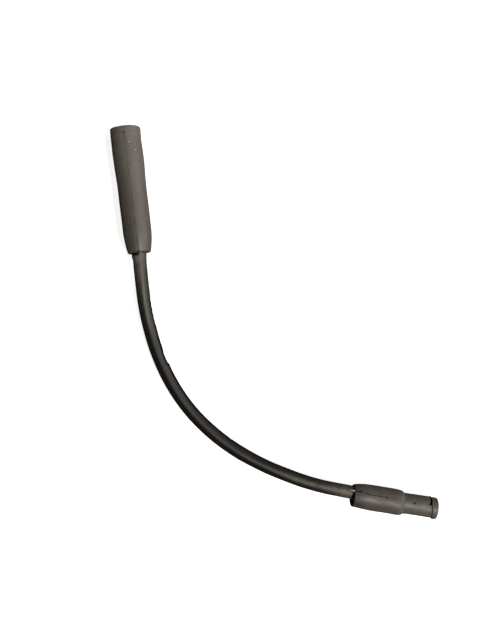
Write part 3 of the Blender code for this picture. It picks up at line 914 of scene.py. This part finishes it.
class CABLE_OT_coil_boot(bpy.types.Operator):
    """Make the coil boot with its slanting step and its flash tab"""

    bl_idname = "cable.coil_boot"
    bl_label = "Coil Boot"

    def bore(self, cable):
        """(along, radius) from the mouth to the rear: flare, collar, cone, cavity and throat."""
        size, contact = cable.coil, cable.contact
        throat, cavity, collar = boot_fit(cable, contact.coil_bore)
        cone_rear = contact_places(size.throat, contact, contact.coil_can)[2] + CLEARANCE
        cone_front = cone_rear + contact.neck
        collar_front = cone_front + contact.collar
        bore = size.bore / 2
        return follow([(size.length, bore + size.flare), (size.length - 0.6 * MM, bore),
                       (collar_front, bore), (collar_front, collar), (cone_front, collar),
                       (cone_rear, cavity), *rear_bore(size, throat, cavity)], BORE_STEP)

    def execute(self, context):
        """It leans most at its rear, a little at its step, and its rear is longer underneath."""
        cable = context.scene.ignition_cable
        size = cable.coil
        turn, along = boot_grid(size, 0.26 * MM,
                                ((24.8 * MM, 27.5 * MM), (39.8 * MM, 43.4 * MM)))
        radius, *marks = coil_boot_surface(size, turn, along)
        rows, reach = close_wall(along, radius, self.bore(cable))
        lean = (0.1 * MM + 0.35 * MM * np.exp(-rows[:, 0] / (2.2 * MM))
                + 0.13 * MM * bump(rows[:, 0] - 25 * MM, 4.5 * MM))
        rows = rows - 0.3 * MM * (1 - np.cos(turn)) * ease(1 - rows / (6 * MM))
        axis = coil_axis(size)
        rubber = add_boot("coil_boot", cable, (axis, turn, rows, reach), lean, marks, 0.3,
                          mottle=1.0, bloom=0.0)
        self.flash_tab(axis, size, rubber)
        return {"FINISHED"}

    def flash_tab(self, axis, size, rubber):
        """A tongue of flash at the rear rim: a flat oval that narrows towards its free tip."""
        share = np.linspace(0, 1, 14)[:, None]
        turn = np.linspace(0, math.tau, 16, endpoint=False)[None, :]
        half_width = (0.6 * (1 - share) ** 0.8 + 0.06) * MM
        half_thick = (0.16 - 0.08 * share) * MM
        reach = size.rear_diameter / 2 - (0.45 + 0.5 * share) * MM
        place = math.radians(-36) - math.radians(5) * share
        across = half_width * np.cos(turn)
        height = reach + half_thick * np.sin(turn)
        along = (0.7 - 3.5 * share) * MM
        grid = axis.at(height * np.sin(place) + across * np.cos(place), along + 0 * turn,
                       height * np.cos(place) - across * np.sin(place))
        tab = skin("coil_boot_flash", grid, rubber, attributes={
            "grime": 0.0, "worn": 0.75 * ease(share * 3) * ease(np.cos(turn) + 1.1),
            "mottle": 1.0, "bloom": 0.0})
        dress(tab, "boot_rubber")


# Nicks on the inside of the lead's bend: mm from the plug's crimp, mm long, mm deep
LEAD_NICKS = ((45.3, 1.5, 0.25), (48.8, 1.3, 0.28), (52.3, 1.3, 0.32), (55.5, 1.2, 0.22),
              (58.0, 1.0, 0.2), (73.1, 0.6, 0.15), (137.0, 0.8, 0.2))


class CABLE_OT_lead(bpy.types.Operator):
    bl_idname = "cable.lead"
    bl_label = "Lead"

    def route(self, cable):
        """Even steps along a smooth curve: in the plug boot, over the floor, in the coil boot."""
        plug, coil, contact = cable.plug, cable.coil, cable.contact
        plug_end = contact_places(plug.throat, contact, contact.plug_can)[1]
        coil_end = contact_places(coil.throat, contact, contact.coil_can)[1]
        in_plug = plug_axis().at(0, np.array((plug_end, plug.throat, plug.bell)), 0)
        in_coil = coil_axis(coil).at(np.array((-coil.bell_offset, 0, 0)),
                                     np.array((0, coil.bell, coil_end)), 0)
        knots = np.concatenate((in_plug, FREE_ROUTE, in_coil))
        places = distances(knots)
        fine = through(places, knots, np.linspace(0, places[-1], 4000))
        travelled = distances(fine)
        count = round(travelled[-1] / cable.lead.step)
        even = np.linspace(0, travelled[-1], count + 1)
        path = np.stack([np.interp(even, travelled, fine[:, i]) for i in range(3)], 1)
        return path, even, plug_end, coil_end

    def surface(self, size, turn, along, total, plug_end, coil_end):
        """Radius of the jacket, and its dust with painted highlights and shade.

        Radius: half the diameter, a little more over the middle, less the nicks and the
        pressed flat on the inside of the bend and the pinch under the plug boot's rim, plus
        swellings beside it. Dust falls off exponentially with the distance from each boot. It
        lies thicker on top near both boots, more so at the coil boot: dust that is also a painted
        highlight. It lies thinly on a scuffed stretch inside the bend. In the pinch it is left
        off, so the jacket shows black there as painted shade. Turn is negative inside the bend.
        """
        inner = bump(off(turn, math.radians(-90)), math.radians(38))
        outer = bump(off(turn, math.radians(70)), math.radians(45))
        radius = (size.diameter / 2 + 0.02 * MM * ripple(turn, along, 21, 3, 25 * MM)
                  + 0.1 * MM * between(along, 18 * MM, 150 * MM, 8 * MM))
        for place, long, deep in LEAD_NICKS:
            radius = radius - deep * MM * bump(along - place * MM, long * MM) * inner
        radius = radius - 0.55 * MM * between(along, 74.5 * MM, 81.5 * MM, 2.0 * MM) * inner
        radius = radius + 0.12 * MM * bump(along - 82.5 * MM, 0.7 * MM) * inner
        radius = radius + 0.6 * MM * bump(along - (plug_end + 1.2 * MM), 1.6 * MM) * outer
        radius = radius + 0.28 * MM * bump(along - (plug_end + 0.8 * MM), 2.2 * MM) * inner
        # Painted shade: under the plug boot's rim the jacket dips and its dust is left off, so it shows
        # black.
        pinch_and_painted_shade = (between(along, plug_end - 1 * MM, plug_end + 1.35 * MM, 0.7 * MM)
                 * between(turn, math.radians(-5), math.radians(100), math.radians(10)))
        radius = radius - 0.2 * MM * pinch_and_painted_shade
        near_plug = np.exp(-np.clip(along - plug_end - 3.5 * MM, 0, None) / (12 * MM))
        near_coil = np.exp(-np.clip(total - coil_end - along - 5 * MM, 0, None) / (7.5 * MM))
        # A paler band along the top near each boot: dust, and a painted highlight.
        plug_top_dust_and_highlight = near_plug * bump(off(turn, math.radians(12)), math.radians(25))
        coil_top_dust_and_highlight = (ease((along - (total - coil_end - 48 * MM)) / (28 * MM))
                    * bump(off(turn, math.radians(-6)), math.radians(20)))
        scuffed = (between(along, 34 * MM, 62 * MM, 12 * MM)
                   * bump(off(turn, math.radians(-58)), math.radians(26)))
        dust = (0.005 + 0.5 * np.maximum(near_plug, near_coil)
                + 0.35 * plug_top_dust_and_highlight + 0.85 * coil_top_dust_and_highlight + 0.07 * scuffed)
        return radius, dust * (1 - pinch_and_painted_shade)

    def execute(self, context):
        cable = context.scene.ignition_cable
        size = cable.lead
        path, along, plug_end, coil_end = self.route(cable)
        turn = np.linspace(-math.pi, math.pi, LEAD_COLUMNS, endpoint=False)[None, :]
        heading = unit(np.gradient(path, axis=0))
        right = unit(np.cross(heading, (0, 0, 1)))
        up = np.cross(right, heading)
        radius, dust = self.surface(size, turn, along[:, None], along[-1], plug_end, coil_end)
        grid = (path[:, None] + (radius * np.sin(turn))[..., None] * right[:, None]
                + (radius * np.cos(turn))[..., None] * up[:, None])
        jacket = material_once("Extruded Black Jacket", lead_jacket, size)
        piece = skin("lead_dressed", rest_on_floor(grid), jacket,
                     uv_size=(math.pi * size.diameter, along[-1]), attributes={"dust": dust})
        dress(piece, "lead_jacket", "lead")
        tuple(plug_axis().at(0, 0, 0))
        float(distances(path)[-1])
        return {"FINISHED"}


def sheet_section(along, radius, sunk, opening, sheet, right_side=40):
    """Cross-sections of rolled sheet: a C, open at the top, with rounded cut edges.

    Points run round the outside at radius + sheet, over one cut edge in a half circle, back
    round the inside at radius, and over the other edge. Rows give along, radius, sunk, opening.
    """
    half = sheet / 2
    middle = radius + half
    edge = opening / 2 + half / middle
    roll = np.radians((22.5, 67.5, 112.5, 157.5))[None, :]
    share = np.linspace(0, 1, right_side * 2)[None, :]
    arc = edge + (math.tau - 2 * edge) * share
    turns = [edge - half * np.sin(roll[:, 1::-1]) / middle, arc,
             math.tau - edge + half * np.sin(roll) / middle, arc[:, ::-1],
             edge - half * np.sin(roll[:, :1:-1]) / middle]
    reaches = [middle + half * np.cos(roll[:, 1::-1]), middle + half + 0 * arc,
               middle + half * np.cos(roll), middle - half + 0 * arc,
               middle + half * np.cos(roll[:, :1:-1])]
    turn = np.concatenate([np.broadcast_to(item, (len(along), item.shape[1])) for item in turns], 1)
    reach = np.concatenate([np.broadcast_to(item, (len(along), item.shape[1])) for item in reaches], 1)
    return reach * np.sin(turn), along + 0 * turn, reach * np.cos(turn) - sunk


class CABLE_OT_contacts(bpy.types.Operator):
    """Make both contacts, each folded from one sheet"""

    bl_idname = "cable.contacts"
    bl_label = "Contacts"

    def contact(self, name, axis, throat, can_bore, can_length, groove, cable, material):
        """Crimp barrel, open neck and slit socket, with a groove round the socket if it has a ring.

        Bore and sunk ease from the crimp's to the socket's over the neck, and the opening
        closes over its second half. The socket flares out by the square of the last millimetre.
        """
        size = cable.contact
        crimp_rear, crimp_front, neck_rear, can_rear, front = contact_places(
            throat, size, can_length)
        crimp, sunk = crimp_fit(cable.lead, size)
        along = np.concatenate((
            np.linspace(crimp_rear, crimp_front, 14), np.linspace(crimp_front, can_rear, 26)[1:],
            np.arange(can_rear + 0.3 * MM, front, 0.2 * MM), (front,)))[:, None]
        share = np.clip((along - neck_rear) / size.neck, 0, 1)
        radius = crimp + (can_bore / 2 - crimp) * ease(share)
        opening = (size.crimp_slit + (size.neck_opening - size.crimp_slit)
                   * ease((along - crimp_front) / size.crimp_mouth))
        opening = opening + (size.can_slit - opening) * ease(2 * share - 1)
        radius = radius + size.can_flare * np.clip(1 - (front - along) / (1 * MM), 0, 1) ** 2
        if groove:
            radius = radius - groove * between(along, front - size.ring_place - 0.9 * MM,
                                               front - size.ring_place + 0.9 * MM, 0.7 * MM)
        across, forward, height = sheet_section(along, radius, sunk * (1 - ease(share)), opening, size.sheet)
        piece = skin(name + "_dressed", axis.at(across, forward, height), material)
        dress(piece, name.replace("terminal", "contact_sheet"), name)

    def execute(self, context):
        cable = context.scene.ignition_cable
        size = cable.contact
        steel = material_once("Tinned Steel Sheet", rolled_sheet, "#B9B6AE", "#8E8B84")
        brass = material_once("Tinned Brass Sheet", rolled_sheet, "#C2B48B", "#94865F")
        self.contact("plug_terminal", plug_axis(), cable.plug.throat, size.plug_bore, size.plug_can,
                     size.ring_groove, cable, steel)
        self.contact("coil_terminal", coil_axis(cable.coil), cable.coil.throat, size.coil_bore,
                     size.coil_can, 0, cable, brass)
        return {"FINISHED"}


class CABLE_OT_snap_ring(bpy.types.Operator):
    """Make the snap ring in the groove of the plug's socket"""

    bl_idname = "cable.snap_ring"
    bl_label = "Snap Ring"

    def execute(self, context):
        """A round wire along an arc: its ends round off by a quarter circle of the wire."""
        cable = context.scene.ignition_cable
        size = cable.contact
        wire = size.wire / 2
        reach = size.plug_bore / 2 + size.sheet - size.ring_groove + CLEARANCE + wire
        centre = contact_places(cable.plug.throat, size, size.plug_can)[4] - size.ring_place
        cap = wire / reach
        first, last = size.ring_opening / 2, math.tau - size.ring_opening / 2
        corner = cap * (1 - np.cos(np.linspace(0, math.pi / 2, 5)))
        turn = np.concatenate((first + corner, np.linspace(first + cap, last - cap, 90)[1:-1],
                               last - corner[::-1]))[:, None]
        from_end = np.minimum(turn - first, last - turn)
        thick = wire * np.sqrt(np.clip(1 - np.clip(1 - from_end / cap, 0, 1) ** 2, 0.01, 1))
        roll = np.linspace(0, math.tau, 16, endpoint=False)[None, :]
        grid = plug_axis().around(turn, centre + thick * np.sin(roll), reach + thick * np.cos(roll))
        steel = material_once("Spring Steel Wire", spring_steel)
        dress(skin("plug_terminal_spring_dressed", grid, steel), "spring_wire", "plug_terminal_spring")
        return {"FINISHED"}


class CABLE_OT_core_tails(bpy.types.Operator):
    """Make both folded ends of the core"""

    bl_idname = "cable.core_tails"
    bl_label = "Core Tails"

    def tail(self, name, axis, front, cable, material):
        """A flat bundle out of the lead's cut end, down over its edge and back under the crimp.

        The path is two quarter circles joined by straight lines. The section is an oval whose
        edge is lobed by six strands, and the lobes turn as they go along.
        """
        size = cable.contact
        half = size.tail_thickness / 2
        bend = CLEARANCE + half
        under = -cable.lead.diameter / 2
        arc = np.linspace(0, math.pi / 2, 9)[:, None]
        centre_line = np.concatenate((
            ((front - 0.6 * MM, 0),),
            (front, -bend) + bend * np.hstack((np.sin(arc), np.cos(arc))),
            follow(((front + bend, -bend), (front + bend, under)), 0.25 * MM)[1:-1],
            (front, under) + bend * np.hstack((np.cos(arc), -np.sin(arc))),
            follow(((front, under - bend), (front - size.tail_length, under - bend)), 0.25 * MM)[1:]))
        heading = unit(np.gradient(centre_line, axis=0))
        travelled = distances(centre_line)
        roll = np.linspace(0, math.tau, 36, endpoint=False)[None, :]
        lobed = 1 + 0.1 * np.cos(6 * roll + travelled[:, None] * math.tau / (5 * MM))
        side = size.tail_width / 2 * 0.9 * lobed * np.cos(roll)
        out = half * 0.9 * lobed * np.sin(roll)
        grid = axis.at(side, centre_line[:, :1] + out * -heading[:, 1:],
                       centre_line[:, 1:] + out * heading[:, :1])
        piece = skin(name + "_dressed", grid, material, uv_size=(4 * MM, travelled[-1]))
        dress(piece, "conductor_yarn", name)

    def execute(self, context):
        cable = context.scene.ignition_cable
        yarn = material_once("Carbon Filled Glass Yarn", carbon_yarn)
        size = cable.contact
        for name, axis, throat, can in (
                ("plug_conductor_tail", plug_axis(), cable.plug.throat, size.plug_can),
                ("coil_conductor_tail", coil_axis(cable.coil), cable.coil.throat, size.coil_can)):
            self.tail(name, axis, contact_places(throat, size, can)[1], cable, yarn)
        return {"FINISHED"}


class CABLE_OT_stage(bpy.types.Operator):
    """Make the pale floor, the soft light and the camera"""

    bl_idname = "cable.stage"
    bl_label = "Stage"

    def floor(self):
        """Pale matt paper, which the camera sees as plain white with a faint shadow.

        Its own glow for the camera grows from 0.88 round the object, where the lamps add the
        rest and the shadow shows, to 1 away from them. For reflections it is 0.45.
        """
        half = 15.0
        mesh = bpy.data.meshes.new("floor")
        mesh.from_pydata([(-half, -half, 0), (half, -half, 0), (half, half, 0), (-half, half, 0)],
                         [], [(0, 1, 2, 3)])
        material, tree, shader = new_material("White Paper")
        camera, mirrored = ray_kinds(tree)
        away = add_node(tree, "ShaderNodeVectorMath", {0: object_place(tree)}, operation="LENGTH")
        plain = rescale(tree, away.outputs["Value"], (0.25, 0.8), (0.88, 1.0))
        dimmer = arithmetic(tree, "MULTIPLY", mirrored, 0.45)
        fill_inputs(tree, shader, {
            "Base Color": linear("#C5C0B8"),
            "Roughness": 0.9,
            "Specular IOR Level": 0.0,
            "Emission Color": (1, 1, 1, 1),
            "Emission Strength": arithmetic(tree, "MULTIPLY_ADD", camera, plain, dimmer)})
        mesh.materials.append(material)
        paper = bpy.data.objects.new("floor", mesh)
        bpy.context.scene.collection.objects.link(paper)

    def world(self, fill):
        """Even light all round. The camera sees white, and so do reflections near the horizon."""
        world = bpy.data.worlds.new("Studio")
        world.use_nodes = True
        tree = world.node_tree
        camera, mirrored = ray_kinds(tree)
        direction = add_node(tree, "ShaderNodeSeparateXYZ",
                             {0: add_node(tree, "ShaderNodeTexCoord").outputs["Generated"]})
        low = rescale(tree, direction.outputs["Z"], (0.15, 0.22), (1.0, 0.0))
        white = arithmetic(tree, "MAXIMUM", camera, arithmetic(tree, "MULTIPLY", mirrored, low))
        fill_inputs(tree, tree.nodes["Background"], {
            "Color": (1, 1, 1, 1),
            "Strength": rescale(tree, white, (0.0, 1.0), (fill, 1.0))})
        bpy.context.scene.world = world

    def soft_box(self, name, light, azimuth, tilt, turn, long_side, short_side, distance, tint):
        """A flat lamp that faces the origin. Its power is light * pi * distance squared."""
        lamp = bpy.data.lights.new(name, "AREA")
        lamp.shape = "RECTANGLE"
        lamp.size, lamp.size_y = long_side, short_side
        lamp.energy = light * math.pi * distance ** 2
        lamp.color = tint
        box = bpy.data.objects.new(name, lamp)
        away = Vector((math.sin(tilt) * math.cos(azimuth), math.sin(tilt) * math.sin(azimuth),
                       math.cos(tilt)))
        short_way = away.cross(Vector((math.cos(turn), math.sin(turn), 0))).normalized()
        turned = Matrix((short_way.cross(away), short_way, away)).transposed()
        box.matrix_world = Matrix.Translation(away * distance) @ turned.to_4x4()
        box.visible_camera = False
        bpy.context.scene.collection.objects.link(box)

    def camera(self, size):
        """Straight down, with the focal length of a 28 by 36 mm sensor whose long side is 640."""
        camera = bpy.data.cameras.new("camera")
        camera.lens = 36.0
        camera.sensor_width = 36.0
        stand = bpy.data.objects.new("camera", camera)
        stand.location = (size.camera_x, size.camera_y, size.camera_height)
        stand.rotation_euler = (0, 0, size.roll)
        bpy.context.scene.collection.objects.link(stand)
        bpy.context.scene.camera = stand

    def execute(self, context):
        size = context.scene.ignition_cable.stage
        self.floor()
        self.world(size.fill)
        self.soft_box("strip_above", size.key, size.key_azimuth, size.key_tilt, size.key_turn,
                      size.key_length, size.key_width, size.distance, (1.0, 0.985, 0.96))
        self.soft_box("side_box", size.side, size.side_azimuth, size.side_tilt,
                      size.side_azimuth + math.pi / 2, size.side_width, size.side_height,
                      size.distance, (0.94, 0.97, 1.0))
        self.camera(size)
        context.scene.view_settings.view_transform = "Standard"
        return {"FINISHED"}


OPERATORS = (CABLE_OT_lead, CABLE_OT_plug_boot, CABLE_OT_coil_boot, CABLE_OT_contacts,
             CABLE_OT_snap_ring, CABLE_OT_core_tails, CABLE_OT_stage)


class CABLE_PT_panel(bpy.types.Panel):
    """Buttons for each piece and the sizes behind them"""

    bl_idname = "CABLE_PT_panel"
    bl_label = "Ignition Cable"
    bl_space_type = "VIEW_3D"
    bl_region_type = "UI"
    bl_category = "Ignition Cable"

    def draw(self, context):
        cable = context.scene.ignition_cable
        for operator in OPERATORS:
            self.layout.operator(operator.bl_idname)
        for part in ("plug", "coil", "lead", "contact", "rubber", "stage"):
            box = self.layout.box()
            group = getattr(cable, part)
            for name in group.bl_rna.properties.keys():
                if name not in ("rna_type", "name"):
                    box.prop(group, name)


CLASSES = (PlugBootSettings, CoilBootSettings, LeadSettings, ContactSettings, RubberSettings,
           StageSettings, CableSettings, *OPERATORS, CABLE_PT_panel)


def register():
    for item in CLASSES:
        bpy.utils.register_class(item)
    bpy.types.Scene.ignition_cable = PointerProperty(type=CableSettings)


def unregister():
    del bpy.types.Scene.ignition_cable
    for item in reversed(CLASSES):
        bpy.utils.unregister_class(item)


def main():
    register()
    bpy.ops.cable.lead()
    bpy.ops.cable.plug_boot()
    bpy.ops.cable.coil_boot()
    bpy.ops.cable.contacts()
    bpy.ops.cable.snap_ring()
    bpy.ops.cable.core_tails()
    bpy.ops.cable.stage()


if __name__ == "__main__":
    main()
